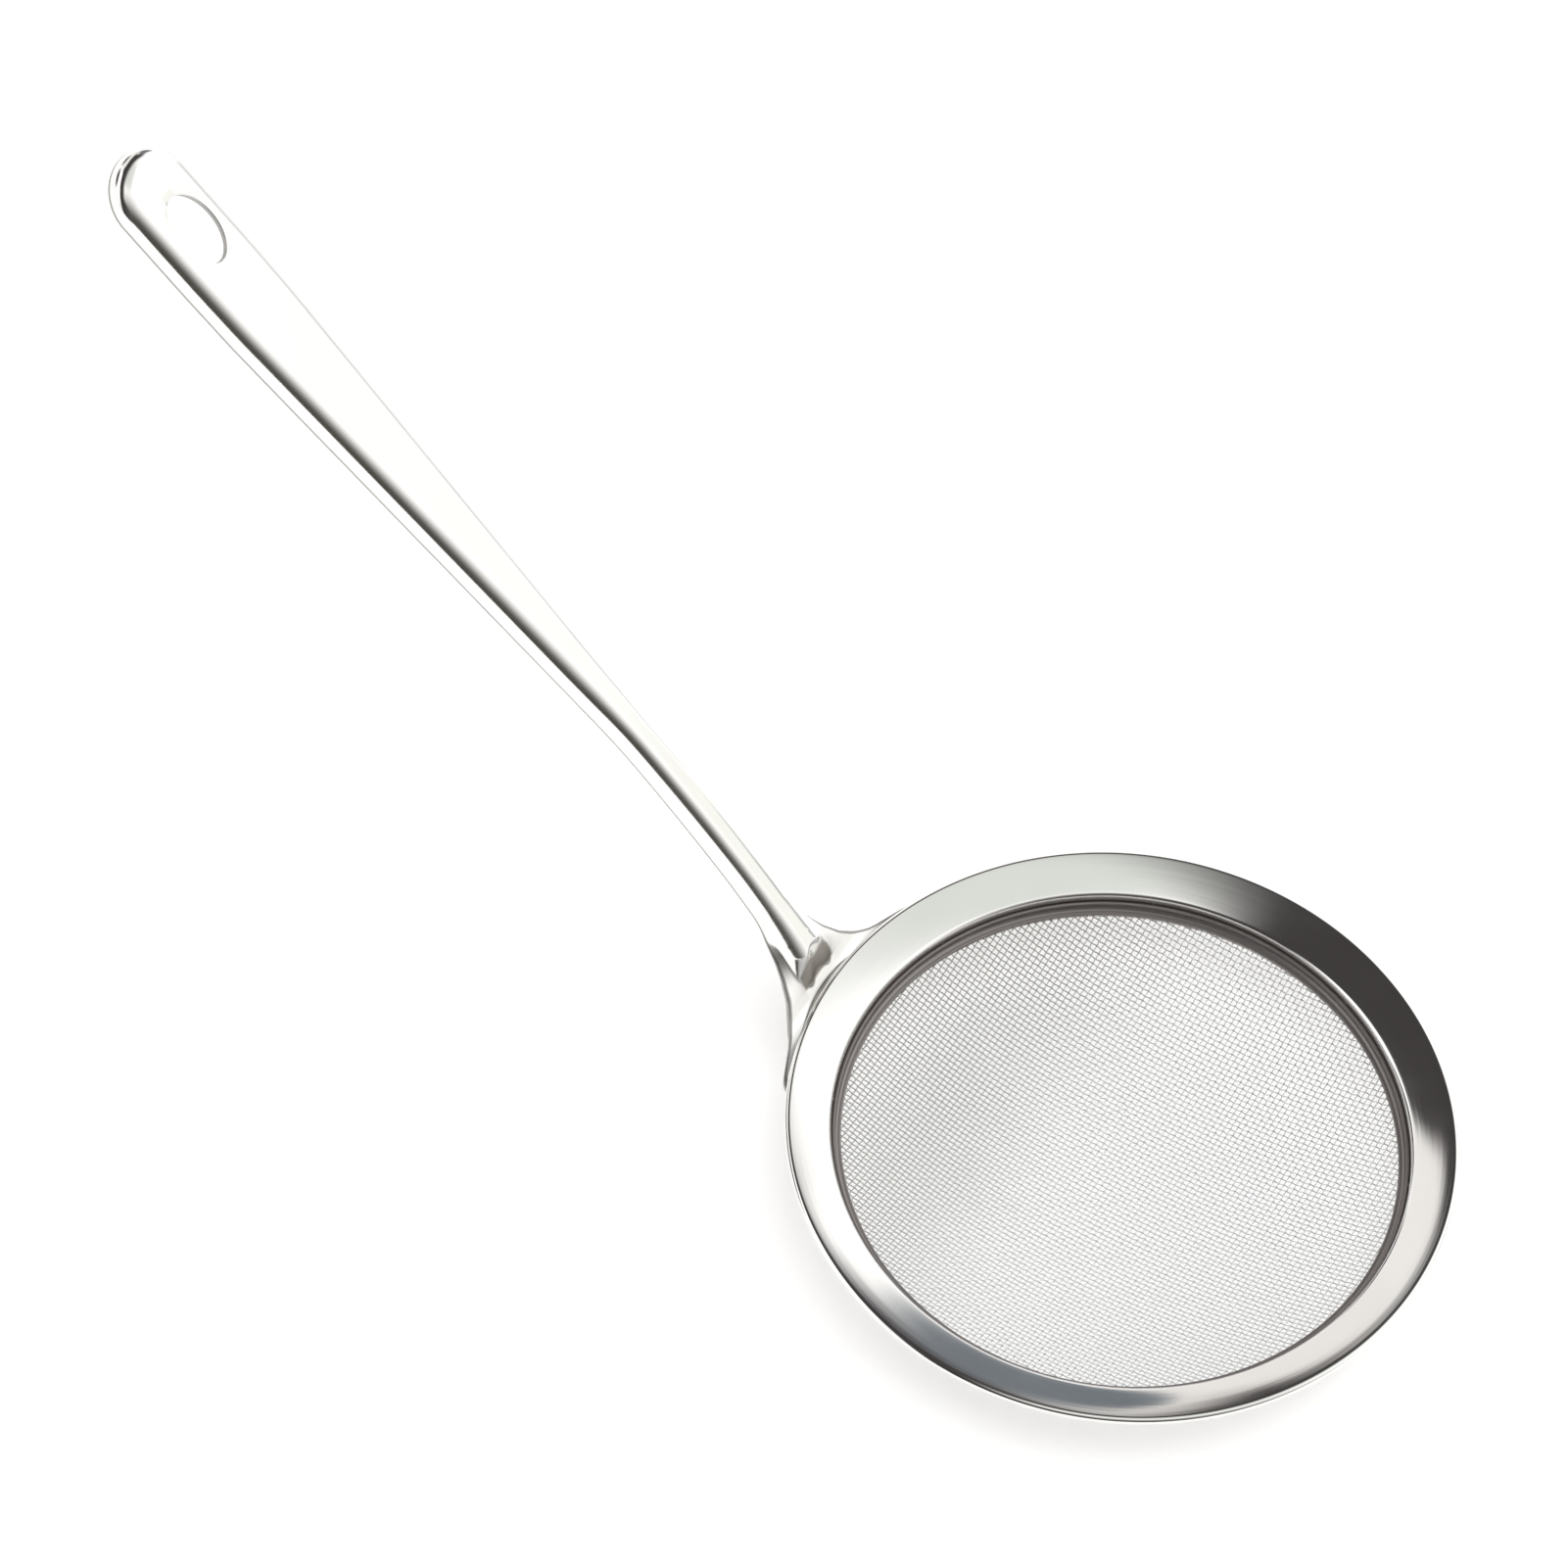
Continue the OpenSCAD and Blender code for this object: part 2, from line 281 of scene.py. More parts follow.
def line_table():
    """Slope, run and rise of the handle's line at every fine step, the slope eased."""
    ends = [0.0]
    slopes = [LINE[0][1]]
    for length, start, end in LINE:
        ends.append(ends[-1] + length)
        slopes.append(end)
    u = np.arange(0, LINE_LEN + 5, FINE)
    slope = np.radians([table_value(v, list(zip(ends, slopes)), 1.0) for v in u])
    run = np.concatenate([[0], np.cumsum(np.cos(slope[:-1]) * FINE)])
    rise = np.concatenate([[0], np.cumsum(np.sin(slope[:-1]) * FINE)])
    return u, slope, run, rise


LINE_TABLE = line_table()


def place(u, y, n, h=0.0):
    """A point beside the line: y across, n above the foot's face, h towards the tip."""
    slope, run, rise = (np.interp(u, LINE_TABLE[0], column) for column in LINE_TABLE[1:])
    return (-FOOT_X - run + n * math.sin(slope) - h * math.cos(slope), y,
            FOOT_Z + rise + n * math.cos(slope) + h * math.sin(slope))


def smooth_path(points, sigma, count):
    """A polyline resampled to count points with its corners rounded by a Gaussian."""
    p = np.array(points, float)
    length = np.concatenate([[0], np.cumsum(np.hypot(*np.diff(p, axis=0).T))])
    step = 0.05
    s = np.arange(0, length[-1] + step / 2, step)
    fine = np.stack([np.interp(s, length, p[:, 0]), np.interp(s, length, p[:, 1])], 1)
    pad = int(3 * sigma / step)
    head = fine[1:pad + 1][::-1] * [-1, 1]
    tail = fine[-1] + (fine[-1] - fine[-2]) * np.arange(1, pad + 1)[:, None]
    full = np.concatenate([head, fine, tail])
    kernel = np.exp(-0.5 * (np.arange(-pad, pad + 1) * step / sigma) ** 2)
    kernel /= kernel.sum()
    soft = np.stack([np.convolve(full[:, i], kernel, "valid") for i in (0, 1)], 1)
    length = np.concatenate([[0], np.cumsum(np.hypot(*np.diff(soft, axis=0).T))])
    want = np.linspace(0, length[-1], count)
    return np.stack([np.interp(want, length, soft[:, 0]), np.interp(want, length, soft[:, 1])], 1)


def shaped_nose(u, half, height, top):
    """Heights over a section near the foot: the nose has round corners and a dent in its middle."""
    across = np.clip(np.abs(top[:, 0]) / half, 0, 1)
    dent = 1.1 * np.clip(1 - (across / 0.6) ** 2, 0, 1) ** 2
    corner = 1.6 * across ** 4
    later = np.array([table_value(u - back, RISE, RISE_REACH) for back in dent + corner])
    return np.where(top[:, 1] > 0, top[:, 1] * later / max(height, 0.001), top[:, 1])


def section(u):
    """Half of the handle's section: over the top, down the skirt, round its edge and back under."""
    half = table_value(u, HALF, 4)
    height = table_value(u, RISE, RISE_REACH)
    turn = math.radians(table_value(u, TURN, 3))
    if u < SKIRT[0][0]:
        skirt = table_value(u, FLARE, 0.7) - half
    else:
        skirt = float(np.interp(u, *zip(*SKIRT)))
    shoulder = min(SHOULDER_W, half - 0.6)
    raw = [(0, height), (half - shoulder, height)]
    for i in range(1, 13):
        angle = math.radians(90 * i / 12)
        raw.append((half - shoulder + shoulder * math.sin(angle), height * math.cos(angle)))
    raw.append((half + skirt * math.sin(turn), -skirt * math.cos(turn)))
    top = smooth_path(raw, BEND_SOFTNESS, TOP_POINTS)
    if u < NOSE_END:
        top[:, 1] = shaped_nose(u, half, height, top)
    along = np.gradient(top, axis=0)
    along /= np.hypot(along[:, 0], along[:, 1])[:, None]
    normal = np.stack([-along[:, 1], along[:, 0]], 1)
    normal[0] = (0, 1)
    under = top - normal * HANDLE_T
    under[:, 0] = np.maximum(under[:, 0], 0)
    edge = round_end(tuple(top[-1]), tuple(under[-1]), tuple(top[-2]), 8)
    return [tuple(p) for p in top] + edge + [tuple(p) for p in under[::-2]] + [(0, height - HANDLE_T)]


def handle_rings():
    """The half section carried up one side, round the tip and back down the other."""
    grip = np.linspace(STATIONS[-1][1], TIP_U, GRIP_STATIONS)[:-1]
    stations = np.concatenate([np.arange(*span) for span in STATIONS] + [grip])
    cuts = [section(u) for u in stations]
    tip = section(TIP_U)
    rings = [[place(u, y, n) for y, n in cut] for u, cut in zip(stations, cuts)]
    for j in range(TIP_TURNS + 1):
        angle = math.pi * j / TIP_TURNS
        rings.append([place(TIP_U, y * math.cos(angle), n, y * math.sin(angle)) for y, n in tip])
    rings += [[place(u, -y, n) for y, n in cut] for u, cut in zip(stations[::-1], cuts[::-1])]
    return rings


def make_handle(material, cut_edge):
    """The handle's stamping, with its hanging hole punched and its foot trimmed."""
    rings = handle_rings()
    size = len(rings[0])
    verts = [p for ring in rings for p in ring]
    faces = []
    for j in range(len(rings) - 1):
        for k in range(size - 1):
            first = j * size + k
            faces.append((first, first + 1, first + size + 1, first + size))
    last = (len(rings) - 1) * size
    faces.append(tuple(range(size)))
    faces.append(tuple(last + k for k in reversed(range(size))))
    handle = add_mesh("handle_stamping", verts, faces, material, 40)
    handle.data.materials.append(cut_edge)
    mark_sheared_edge(handle, rings)
    carve(handle, [hole_cutter(), foot_cutter()])
    mark_hole_wall(handle)
    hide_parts("handle")


def mark_sheared_edge(handle, rings):
    """Gives the sheet's sheared edge, all round the skirt, the cut edge's material."""
    outer = in_metres(np.array([ring[EDGE_FROM:EDGE_TO] for ring in rings]).reshape(-1, 3))
    tree = KDTree(len(outer))
    for i, point in enumerate(outer):
        tree.insert(point, i)
    tree.balance()
    corners = [tree.find(vert.co)[2] < 1e-6 for vert in handle.data.vertices]
    for face in handle.data.polygons:
        if all(corners[i] for i in face.vertices):
            face.material_index = 1


def mark_hole_wall(handle):
    """Gives the punched wall of the hanging hole the cut edge's material."""
    middle = Vector(place(HOLE_U, 0, 0)) * MM + Vector((0, 0, RIM_Z * MM))
    slope = math.radians(GRIP_ANGLE)
    normal = Vector((math.sin(slope), 0, math.cos(slope)))
    for face in handle.data.polygons:
        near = (face.center - middle).length < HOLE_LEN * 0.56 * MM
        if near and abs(face.normal.dot(normal)) < 0.5 and abs(face.center.y) < HOLE_W * 0.52 * MM:
            face.material_index = 1


def place_flat(n, y, h):
    """A point beside the middle of the hanging hole: n above the foot's face, h towards the tip."""
    return place(HOLE_U, y, n, h)


def hole_cutter():
    """An oval plug, its upper edge flared for the rounded lip of the punched hole."""
    lip = 0.22
    top = table_value(HOLE_U, RISE, RISE_REACH)
    levels = [(-4, 0.0), (top - HANDLE_T - 0.02, 0.0), (top - lip, 0.0)]
    for i in range(1, 7):
        angle = math.radians(15 * i)
        levels.append((top - lip + lip * math.sin(angle) + (0.02 if i == 6 else 0),
                       lip * (1 - math.cos(angle))))
    levels.append((top + 4, lip))
    turns = [2 * math.pi * i / 96 for i in range(96)]
    verts = []
    for n, grow in levels:
        wide, long = HOLE_W / 2 + grow, HOLE_LEN / 2 + grow
        verts += [place_flat(n, wide * math.sin(turn), long * math.cos(turn)) for turn in turns]
    count = len(turns)
    faces = [tuple(reversed(range(count))), tuple((len(levels) - 1) * count + i for i in range(count))]
    for j in range(len(levels) - 1):
        for i in range(count):
            m = (i + 1) % count
            faces.append((j * count + i, j * count + m, (j + 1) * count + m, (j + 1) * count + i))
    return cutter(verts, faces)


def foot_cutter():
    """A round block under the rim that trims the foot clear of the collar."""
    count = 360
    verts = []
    for z in (FOOT_Z - 5, FOOT_Z + 5):
        for i in range(count):
            angle = 2 * math.pi * i / count
            verts.append((FOOT_GAP_R * math.cos(angle), FOOT_GAP_R * math.sin(angle), z))
    faces = [tuple(reversed(range(count))), tuple(count + i for i in range(count))]
    faces += [(i, (i + 1) % count, count + (i + 1) % count, count + i) for i in range(count)]
    return cutter(verts, faces)


def cutter(verts, faces):
    """A closed mesh to cut with, from points in millimetres over the rolled edge's level."""
    mesh = bpy.data.meshes.new("cutter")
    mesh.from_pydata(in_metres(verts).tolist(), [], faces)
    bm = bmesh.new()
    bm.from_mesh(mesh)
    bmesh.ops.recalc_face_normals(bm, faces=bm.faces)
    bm.to_mesh(mesh)
    bm.free()
    tool = bpy.data.objects.new("cutter", mesh)
    bpy.context.scene.collection.objects.link(tool)
    return tool


def carve(piece, tools):
    """Cuts the tools out of the piece and leaves plain mesh."""
    for tool in tools:
        change = piece.modifiers.new("cut", "BOOLEAN")
        change.operation = "DIFFERENCE"
        change.solver = "EXACT"
        change.object = tool
    bpy.context.view_layer.update()
    graph = bpy.context.evaluated_depsgraph_get()
    mesh = bpy.data.meshes.new_from_object(piece.evaluated_get(graph))
    piece.modifiers.clear()
    piece.data = mesh
    for tool in tools:
        bpy.data.objects.remove(tool)
    shade(mesh, 40)


# ---------------------------------------------------------------- woven cloth
WIRE_SIDES = 4
WIRE_STEPS = 4


def dish_height(r):
    """Height of the cloth's middle at a distance from the rim's axis."""
    drop = np.clip(1 - np.power(np.clip(r / DISH_START, 0, 1), DISH_POWER), 0, 1)
    return LEDGE_Z + CLOTH_T / 2 - DISH_DEPTH * drop


def wire_tube(points, sides, first):
    """Tube round a polyline that runs mostly in the horizontal plane."""
    along = np.gradient(points, axis=0)
    along /= np.linalg.norm(along, axis=1)[:, None]
    flat = np.cross(along, (0, 0, 1.0))
    flat /= np.linalg.norm(flat, axis=1)[:, None]
    up = np.cross(flat, along)
    turn = 2 * np.pi * (np.arange(sides) + 0.5) / sides
    ring = (flat[:, None] * np.cos(turn)[None, :, None] + up[:, None] * np.sin(turn)[None, :, None])
    verts = points[:, None] + ring * WIRE_R
    n = len(points)
    i, k = np.meshgrid(np.arange(n - 1), np.arange(sides), indexing="ij")
    m = (k + 1) % sides
    quads = np.stack([i * sides + k, i * sides + m, (i + 1) * sides + m, (i + 1) * sides + k], -1)
    return verts.reshape(-1, 3), quads.reshape(-1, 4) + first


def woven_band(name, direction, rows, material):
    """A band of parallel wires that go over and under the wires across them."""
    reach = COLLAR_R - 0.6
    verts, faces, total = [], [], 0
    for row in rows:
        offset = row * WIRE_PITCH
        half = math.sqrt(max(reach * reach - offset * offset, 0))
        if half < 3 * WIRE_PITCH:
            continue
        count = int(half / WIRE_PITCH * WIRE_STEPS)
        run = np.arange(-count, count + 1) * WIRE_PITCH / WIRE_STEPS
        wave = np.cos(np.pi * (run / WIRE_PITCH + row)) * WIRE_R * direction
        height = dish_height(np.hypot(run, offset)) + wave
        line = np.stack([run, np.full_like(run, offset), height], 1)
        if direction < 0:
            line = line[:, [1, 0, 2]]
        tube, quads = wire_tube(line, WIRE_SIDES, total)
        verts.append(tube)
        faces.append(quads)
        total += len(tube)
    return add_wires(name, np.concatenate(verts), np.concatenate(faces), material)


def add_wires(name, verts, quads, material):
    """A mesh piece from arrays of points and four-sided faces, which is quick for many wires."""
    mesh = bpy.data.meshes.new(name)
    mesh.vertices.add(len(verts))
    mesh.vertices.foreach_set("co", in_metres(verts).astype(np.float32).ravel())
    mesh.loops.add(quads.size)
    mesh.loops.foreach_set("vertex_index", quads.astype(np.int32).ravel())
    mesh.polygons.add(len(quads))
    mesh.polygons.foreach_set("loop_start", np.arange(0, quads.size, 4, dtype=np.int32))
    mesh.polygons.foreach_set("use_smooth", np.ones(len(quads), dtype=bool))
    mesh.update(calc_edges=True)
    mesh.materials.append(material)
    piece = bpy.data.objects.new(name, mesh)
    bpy.context.scene.collection.objects.link(piece)
    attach(piece, "root")
    return piece


def make_cloth(material):
    """The woven cloth: warp and weft, each in three bands side by side."""
    rows = int(COLLAR_R / WIRE_PITCH)
    bands = [range(-rows, -rows // 3), range(-rows // 3, rows // 3), range(rows // 3, rows + 1)]
    for direction, family in ((1, "warp"), (-1, "weft")):
        for i, band in enumerate(bands):
            piece = woven_band(f"{family}_wires_{i + 1}", direction, band, material)
            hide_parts("mesh_screen")


# ---------------------------------------------------------------- materials
# the places of a Mix node's A, B and result among its sockets
MIX_COLOR = (6, 7, 2)
MIX_NUMBER = (2, 3, 0)
POLISHED = (0.90, 0.895, 0.885)
POLISHED_HAZE = (0.84, 0.835, 0.825)


def new_material(name):
    """A new material with its node tree and its shader."""
    material = bpy.data.materials.new(name)
    material.use_nodes = True
    return material, material.node_tree, material.node_tree.nodes["Principled BSDF"]


def node(tree, kind, **values):
    """A new node: each value sets the node's property of that name, or else its input."""
    made = tree.nodes.new(kind)
    for key, value in values.items():
        if hasattr(made, key):
            setattr(made, key, value)
        else:
            made.inputs[key.replace("_", " ")].default_value = value
    return made


def object_axes(tree):
    """X, Y and Z of the shaded point, in metres in the part's frame."""
    coords = node(tree, "ShaderNodeTexCoord")
    split = node(tree, "ShaderNodeSeparateXYZ")
    tree.links.new(coords.outputs["Object"], split.inputs[0])
    return split.outputs


def axis_distance(tree, axes):
    """Distance from the rim's axis, from the X and Y sockets."""
    flat = node(tree, "ShaderNodeCombineXYZ")
    tree.links.new(axes[0], flat.inputs[0])
    tree.links.new(axes[1], flat.inputs[1])
    length = node(tree, "ShaderNodeVectorMath", operation="LENGTH")
    tree.links.new(flat.outputs[0], length.inputs[0])
    return length.outputs["Value"]


def polar(tree):
    """Position as (distance from the rim's axis, a little of the angle, height)."""
    axes = object_axes(tree)
    angle = node(tree, "ShaderNodeMath", operation="ARCTAN2")
    tree.links.new(axes[1], angle.inputs[0])
    tree.links.new(axes[0], angle.inputs[1])
    small = node(tree, "ShaderNodeMath", operation="MULTIPLY")
    small.inputs[1].default_value = 0.0012
    tree.links.new(angle.outputs[0], small.inputs[0])
    out = node(tree, "ShaderNodeCombineXYZ")
    tree.links.new(axis_distance(tree, axes), out.inputs[0])
    tree.links.new(small.outputs[0], out.inputs[1])
    tree.links.new(axes[2], out.inputs[2])
    return out.outputs[0]


def two_tone(tree, mask, dark, light):
    """A colour socket: dark where the mask is 0, light where it is 1."""
    first, second, out = MIX_COLOR
    mix = node(tree, "ShaderNodeMix", data_type="RGBA")
    mix.inputs[first].default_value = (*dark, 1)
    mix.inputs[second].default_value = (*light, 1)
    tree.links.new(mask, mix.inputs["Factor"])
    return mix.outputs[out]


def steel(name, color, dark, rough, spread, vector_of, line_scale, line_bump, patch_scale=90.0):
    """Stainless steel: fine polishing lines along one direction, under soft patches of haze."""
    material, tree, shader = new_material(name)
    vector = vector_of(tree)
    shader.inputs["Metallic"].default_value = 1.0
    lines = node(tree, "ShaderNodeTexNoise", Scale=line_scale, Detail=3.0, Roughness=0.6)
    tree.links.new(vector, lines.inputs["Vector"])
    coords = node(tree, "ShaderNodeTexCoord")
    haze = node(tree, "ShaderNodeTexNoise", Scale=patch_scale, Detail=4.0, Roughness=0.55)
    tree.links.new(coords.outputs["Object"], haze.inputs["Vector"])
    first, second, out = MIX_NUMBER
    blend = node(tree, "ShaderNodeMix", data_type="FLOAT")
    blend.inputs["Factor"].default_value = 0.4
    tree.links.new(haze.outputs["Fac"], blend.inputs[first])
    tree.links.new(lines.outputs["Fac"], blend.inputs[second])
    roughness = node(tree, "ShaderNodeMapRange")
    roughness.inputs["From Min"].default_value = 0.3
    roughness.inputs["From Max"].default_value = 0.7
    roughness.inputs["To Min"].default_value = rough - spread
    roughness.inputs["To Max"].default_value = rough + spread
    tree.links.new(blend.outputs[out], roughness.inputs["Value"])
    tree.links.new(roughness.outputs[0], shader.inputs["Roughness"])
    tree.links.new(two_tone(tree, haze.outputs["Fac"], dark, color), shader.inputs["Base Color"])
    bump = node(tree, "ShaderNodeBump")
    bump.inputs["Strength"].default_value = line_bump
    bump.inputs["Distance"].default_value = 0.02 * MM
    tree.links.new(lines.outputs["Fac"], bump.inputs["Height"])
    tree.links.new(bump.outputs[0], shader.inputs["Normal"])
    return material


def fade(tree, value, start, end):
    """Smooth step of a socket: 0 at start, 1 at end."""
    step = node(tree, "ShaderNodeMapRange", interpolation_type="SMOOTHSTEP")
    step.inputs["From Min"].default_value = start
    step.inputs["From Max"].default_value = end
    tree.links.new(value, step.inputs["Value"])
    return step.outputs[0]


def multiply(tree, sockets):
    """The product of the sockets."""
    last = sockets[0]
    for socket in sockets[1:]:
        both = node(tree, "ShaderNodeMath", operation="MULTIPLY")
        tree.links.new(last, both.inputs[0])
        tree.links.new(socket, both.inputs[1])
        last = both.outputs[0]
    return last


def darken(material, steps, color, roughness):
    """Mixes a duller colour and finish in where all the fades in steps are 1."""
    tree = material.node_tree
    shader = tree.nodes["Principled BSDF"]
    mask = multiply(tree, steps)
    for name, value in (("Base Color", (*color, 1)), ("Roughness", roughness)):
        was = shader.inputs[name].links[0].from_socket
        is_color = name == "Base Color"
        mix = node(tree, "ShaderNodeMix", data_type="RGBA" if is_color else "FLOAT")
        first, second, out = MIX_COLOR if is_color else MIX_NUMBER
        mix.inputs[second].default_value = value
        tree.links.new(mask, mix.inputs["Factor"])
        tree.links.new(was, mix.inputs[first])
        tree.links.new(mix.outputs[out], shader.inputs[name])


def nose_tint(material):
    """The neck's end face, made a darker brown-grey with a duller finish, and the satin flange beside
    it.
    """
    tree = material.node_tree
    axes = object_axes(tree)
    low = (RIM_Z + 0.8) * MM
    face = (place(NOSE_U, 0, NOSE_H)[0] - 0.05) * MM
    side = node(tree, "ShaderNodeMath", operation="ABSOLUTE")
    tree.links.new(axes[1], side.inputs[0])
    end_face = [fade(tree, axes[0], face - 0.2 * MM, face + 0.3 * MM),
                fade(tree, axes[2], low, low + 0.6 * MM),
                fade(tree, side.outputs[0], 5.7 * MM, 5.0 * MM)]
    darken(material, end_face, (0.44, 0.41, 0.375), 0.46)
    # the flange shows from the neck to just short of the rolled edge, outside the shoulders
    flange = [fade(tree, axes[0], -77.5 * MM, -74.5 * MM),
              fade(tree, axes[0], -60.6 * MM, -62.6 * MM),
              fade(tree, side.outputs[0], 4.4 * MM, 5.1 * MM)]
    darken(material, flange, (0.92, 0.91, 0.90), 0.32)


def collar_tint(material):
    """The inside of the collar, made a darker grey with a duller finish."""
    tree = material.node_tree
    axes = object_axes(tree)
    top = (RIM_Z + LIP_Z) * MM
    wall = [fade(tree, axis_distance(tree, axes), (COLLAR_R + 0.35) * MM, (COLLAR_R + 0.15) * MM),
            fade(tree, axes[2], top + 0.5 * MM, top - 0.1 * MM)]
    darken(material, wall, (0.55, 0.515, 0.50), 0.62)


def cloth_painted_shade(material):
    """Painted shade: the wires' colour darkened, and their finish dulled, on the handle's side of the
    cloth, with a noisy edge.
    """
    tree = material.node_tree
    axes = object_axes(tree)
    coords = node(tree, "ShaderNodeTexCoord")
    noise = node(tree, "ShaderNodeTexNoise", Scale=40.0, Detail=2.0)
    tree.links.new(coords.outputs["Object"], noise.inputs["Vector"])
    drift = node(tree, "ShaderNodeMath", operation="MULTIPLY_ADD")
    drift.inputs[1].default_value = 20 * MM
    tree.links.new(noise.outputs["Fac"], drift.inputs[0])
    tree.links.new(axes[0], drift.inputs[2])
    darken(material, [fade(tree, drift.outputs[0], 4 * MM, -26 * MM)], (0.60, 0.595, 0.59), 0.42)


def waves(material, scale, depth):
    """Faint rings left by the pressing, which pull the reflections into streaks."""
    tree = material.node_tree
    shader = tree.nodes["Principled BSDF"]
    bump = shader.inputs["Normal"].links[0].from_node
    noise = node(tree, "ShaderNodeTexNoise", Scale=scale, Detail=1.0)
    tree.links.new(polar(tree), noise.inputs["Vector"])
    broad = node(tree, "ShaderNodeBump")
    broad.inputs["Strength"].default_value = 1.0
    broad.inputs["Distance"].default_value = depth
    tree.links.new(noise.outputs["Fac"], broad.inputs["Height"])
    tree.links.new(broad.outputs[0], bump.inputs["Normal"])


def along_handle(tree):
    """Position squeezed along the handle's run, so that noise draws lines along it."""
    coords = node(tree, "ShaderNodeTexCoord")
    turn = node(tree, "ShaderNodeMapping")
    turn.inputs["Rotation"].default_value = (0, math.radians(GRIP_ANGLE + 4), 0)
    turn.inputs["Scale"].default_value = (0.02, 1, 1)
    tree.links.new(coords.outputs["Object"], turn.inputs["Vector"])
    return turn.outputs[0]


def plain_object(tree):
    """The shaded point in the part's frame, for noise that runs the same in all directions."""
    return node(tree, "ShaderNodeTexCoord").outputs["Object"]


def rim_material():
    """Mirror-polished rim, its brim faintly rippled by the press, its collar darker and duller."""
    material = steel("rim_steel", POLISHED, POLISHED_HAZE, 0.10, 0.03, polar, 6000.0, 0.05)
    collar_tint(material)
    waves(material, 900.0, 0.01 * MM)
    return material


def clamp_material():
    """Unpolished ring in a dark brown-grey."""
    return steel("clamp_steel", (0.34, 0.315, 0.31), (0.27, 0.25, 0.245), 0.44, 0.06, polar,
                 5000.0, 0.2)


def handle_material():
    """Polished stamping with lines along its run."""
    material = steel("handle_steel", POLISHED, POLISHED_HAZE, 0.12, 0.04, along_handle, 4000.0, 0.05)
    nose_tint(material)
    return material


def edge_material():
    """Sheared and punched edges, grey and grainy."""
    return steel("cut_edge", (0.46, 0.45, 0.44), (0.34, 0.33, 0.32), 0.38, 0.08, plain_object,
                 3000.0, 0.2)


def wire_material():
    """Drawn wire, softly bright."""
    material = steel("wire_steel", (0.90, 0.905, 0.91), (0.84, 0.845, 0.85), 0.36, 0.04, plain_object,
                     3000.0, 0.0, 300.0)
    # painted shade on the handle's side of the cloth
    cloth_painted_shade(material)
    return material


def weld_material():
    """Weld nuggets: dull metal with straw and blue heat colours."""
    material, tree, shader = new_material("weld_metal")
    coords = node(tree, "ShaderNodeTexCoord")
    noise = node(tree, "ShaderNodeTexNoise", Scale=1400.0, Detail=4.0)
    tree.links.new(coords.outputs["Object"], noise.inputs["Vector"])
    ramp = node(tree, "ShaderNodeValToRGB")
    ramp.color_ramp.elements[0].position = 0.35
    ramp.color_ramp.elements[0].color = (0.20, 0.21, 0.27, 1)
    ramp.color_ramp.elements[1].position = 0.65
    ramp.color_ramp.elements[1].color = (0.50, 0.42, 0.30, 1)
    tree.links.new(noise.outputs["Fac"], ramp.inputs["Fac"])
    tree.links.new(ramp.outputs["Color"], shader.inputs["Base Color"])
    shader.inputs["Metallic"].default_value = 1.0
    shader.inputs["Roughness"].default_value = 0.45
    return material


def dress_cad_node(name, material):
    """Gives a CAD node that stays in view its material."""
    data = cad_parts[name].data
    data.materials.clear()
    data.materials.append(material)


# ---------------------------------------------------------------- studio
def make_floor():
    """A pale acrylic table top, lit a little from below."""
    size = 6.0
    z = cad_low.z - 0.6 * MM
    mesh = bpy.data.meshes.new("floor")
    mesh.from_pydata([(-size, -size, z), (size, -size, z), (size, size, z), (-size, size, z)], [],
                     [(0, 1, 2, 3)])
    material, tree, shader = new_material("floor_paint")
    coords = node(tree, "ShaderNodeTexCoord")
    noise = node(tree, "ShaderNodeTexNoise", Scale=3.0, Detail=2.0)
    tree.links.new(coords.outputs["Object"], noise.inputs["Vector"])
    tint = two_tone(tree, noise.outputs["Fac"], (0.93, 0.93, 0.925), (0.95, 0.95, 0.95))
    tree.links.new(tint, shader.inputs["Base Color"])
    shader.inputs["Roughness"].default_value = 0.9
    shader.inputs["Specular IOR Level"].default_value = 0.0
    shader.inputs["Emission Color"].default_value = (1.0, 1.0, 0.99, 1)
    shader.inputs["Emission Strength"].default_value = 0.28
    mesh.materials.append(material)
    floor = bpy.data.objects.new("floor", mesh)
    bpy.context.scene.collection.objects.link(floor)


# direction of the middle, inner and outer radius in degrees, colour
STUDIO = [
    ((0.53, -0.84, 0.08), 5, 78, (0.08, 0.075, 0.065)),
    ((0.85, 0.51, 0.12), 7, 24, (1.085, 1.09, 1.035)),
    ((0.05, -0.85, 0.50), 8, 26, (0.09, 0.085, 0.08)),
    ((0.12, 0.20, 0.97), 9, 26, (0.80, 0.82, 0.78)),
    ((-0.22, 0.74, 0.63), 6, 14, (0.10, 0.095, 0.10)),
    ((-0.60, 0.46, 0.65), 16, 24, (0.97, 0.945, 0.92)),
    ((-0.50, 0.74, 0.45), 12, 18, (0.93, 0.90, 0.87)),
    ((-0.31, 0.86, 0.41), 6, 8, (0.15, 0.175, 0.20)),
    ((-0.22, 0.87, 0.43), 4, 12, (0.19, 0.21, 0.23)),
    ((-0.84, 0.48, 0.20), 7, 14, (0.07, 0.065, 0.07)),
    ((-0.97, -0.05, 0.18), 10, 20, (0.07, 0.065, 0.07)),
    ((0.42, 0.90, 0.06), 4, 9, (0.80, 0.80, 0.80)),
    ((0.72, 0.69, 0.03), 3, 8, (0.50, 0.50, 0.50)),
    ((-0.49, 0.16, 0.86), 8, 12, (0.05, 0.045, 0.045)),
]
# the dark ceiling rail: its normal, the sines where it fades in and out, its far end in y, its colour
RAIL = ((0.96, 0.0, 0.27), (0.35, 0.06), (-0.35, -0.27), (0.80, 0.70), (0.055, 0.05, 0.05))
WALLS = (1.25, 1.24, 1.22)


